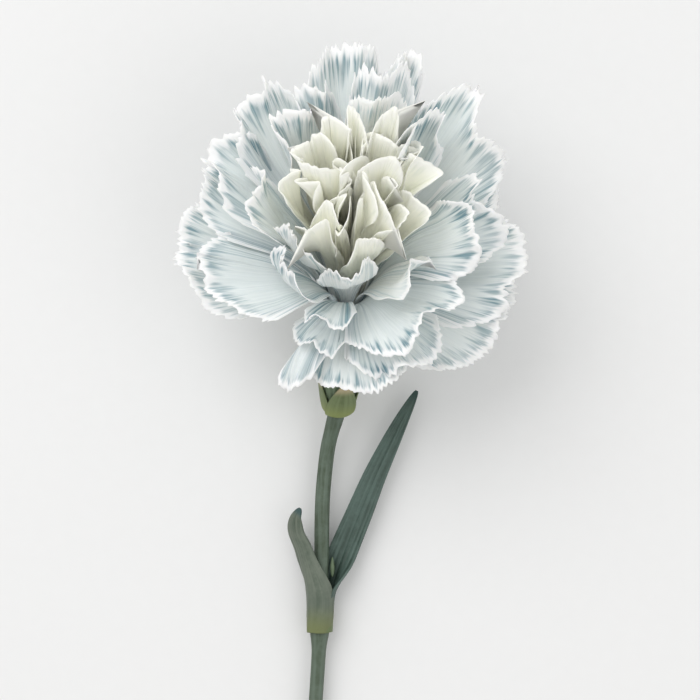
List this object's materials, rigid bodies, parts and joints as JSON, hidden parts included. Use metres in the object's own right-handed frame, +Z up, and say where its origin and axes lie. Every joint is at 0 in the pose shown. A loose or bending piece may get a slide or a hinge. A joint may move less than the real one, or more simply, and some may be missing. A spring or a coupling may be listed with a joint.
{
  "type": "cut carnation",
  "caption": "Cut carnation lying down: ruffled double bloom in a tubular calyx with clasping bracts, on a slim slant-cut stem with a pair of sheathing leaves.",
  "frame": {"origin": "on the surface that the flower lies on, under the middle of its box", "axes": "+Z up from the surface, +Y from the cut end of the stem towards the bloom"},
  "size_m": [0.0732, 0.2155, 0.0612],
  "materials": {
    "petal_tinted": "soft matt petal, pale blue-green with darker strokes near a white fringed edge",
    "petal_cream": "soft matt petal, cream with a green-yellow foot",
    "calyx_green": "smooth waxy green",
    "bract_green": "smooth waxy green with papery points",
    "stem_green": "smooth, with a grey-green waxy bloom",
    "leaf_green": "smooth blue-green with a waxy bloom"
  },
  "bodies": {
    "root": {"axillary_bud": "stem_green", "bract_inner_left": "bract_green", "bract_inner_right": "bract_green", "bract_outer_back": "bract_green", "bract_outer_front": "bract_green", "calyx": "calyx_green", "leaf_long": "leaf_green", "leaf_short": "leaf_green", "petal_1_1": "petal_tinted", "petal_1_2": "petal_tinted", "petal_1_3": "petal_tinted", "petal_1_4": "petal_tinted", "petal_1_5": "petal_tinted", "petal_1_6": "petal_tinted", "petal_1_7": "petal_tinted", "petal_1_8": "petal_tinted", "petal_2_1": "petal_tinted", "petal_2_2": "petal_tinted", "petal_2_3": "petal_tinted", "petal_2_4": "petal_tinted", "petal_2_5": "petal_tinted", "petal_2_6": "petal_tinted", "petal_2_7": "petal_tinted", "petal_2_8": "petal_tinted", "petal_2_9": "petal_tinted", "petal_3_1": "petal_tinted", "petal_3_2": "petal_tinted", "petal_3_3": "petal_tinted", "petal_3_4": "petal_tinted", "petal_3_5": "petal_tinted", "petal_3_6": "petal_tinted", "petal_3_7": "petal_tinted", "petal_3_8": "petal_tinted", "petal_4_1": "petal_tinted", "petal_4_2": "petal_tinted", "petal_4_3": "petal_tinted", "petal_4_4": "petal_tinted", "petal_4_5": "petal_tinted", "petal_4_6": "petal_tinted", "petal_4_7": "petal_tinted", "petal_4_8": "petal_tinted", "petal_5_1": "petal_cream", "petal_5_2": "petal_cream", "petal_5_3": "petal_cream", "petal_5_4": "petal_cream", "petal_5_5": "petal_cream", "petal_5_6": "petal_cream", "petal_6_1": "petal_cream", "petal_6_2": "petal_cream", "petal_6_3": "petal_cream", "petal_6_4": "petal_cream", "petal_6_5": "petal_cream", "petal_7_1": "petal_cream", "petal_7_2": "petal_cream", "petal_7_3": "petal_cream", "petal_8_1": "petal_cream", "petal_8_2": "petal_cream", "receptacle": "calyx_green", "stem": "stem_green"}
  },
  "joints": []
}
